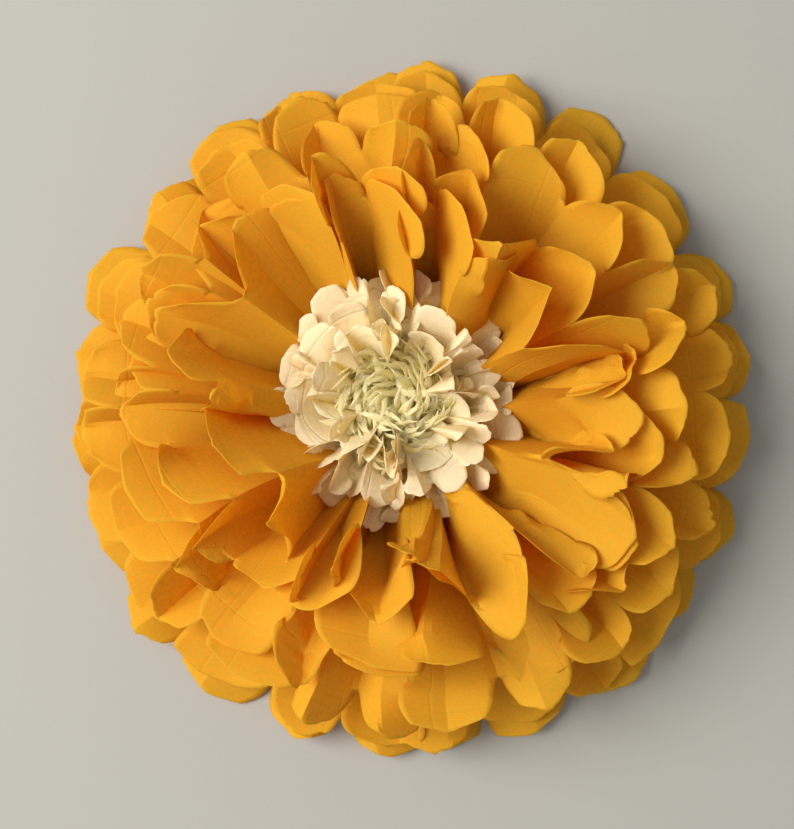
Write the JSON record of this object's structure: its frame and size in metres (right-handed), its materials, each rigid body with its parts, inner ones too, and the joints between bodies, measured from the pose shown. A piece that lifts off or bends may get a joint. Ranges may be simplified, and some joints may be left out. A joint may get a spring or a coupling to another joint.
{
  "type": "giant paper flower",
  "caption": "Large tissue paper flower: golden rings of round-ended folded petals round a ruffled ivory centre with a cut fringe, tied at the waist and lying on its back.",
  "frame": {"origin": "on the surface the flower lies on, under the middle of its outline", "axes": "+Z is the flower's axis and points out of its face; the slit between its two half rings runs along Y; the wire's tail points to -Y"},
  "size_m": [0.5036, 0.5034, 0.1587],
  "materials": {
    "gold_tissue": "thin matte tissue paper, golden yellow, lets light through",
    "ivory_tissue": "thin matte tissue paper, ivory",
    "fringe_tissue": "thin matte tissue paper, pale greenish ivory, cut to a fringe",
    "florist_wire": "thin annealed florist's wire"
  },
  "bodies": {
    "root": {"yellow_sheet_1": "gold_tissue", "yellow_sheet_2": "gold_tissue", "yellow_sheet_3": "gold_tissue", "yellow_sheet_4": "gold_tissue", "yellow_sheet_5": "gold_tissue", "yellow_sheet_6": "gold_tissue", "ivory_sheet_1": "ivory_tissue", "ivory_sheet_2": "ivory_tissue", "ivory_sheet_3": "ivory_tissue", "fringe_sheet_1": "fringe_tissue", "fringe_sheet_2": "fringe_tissue", "tie_wire": "florist_wire"}
  },
  "joints": []
}
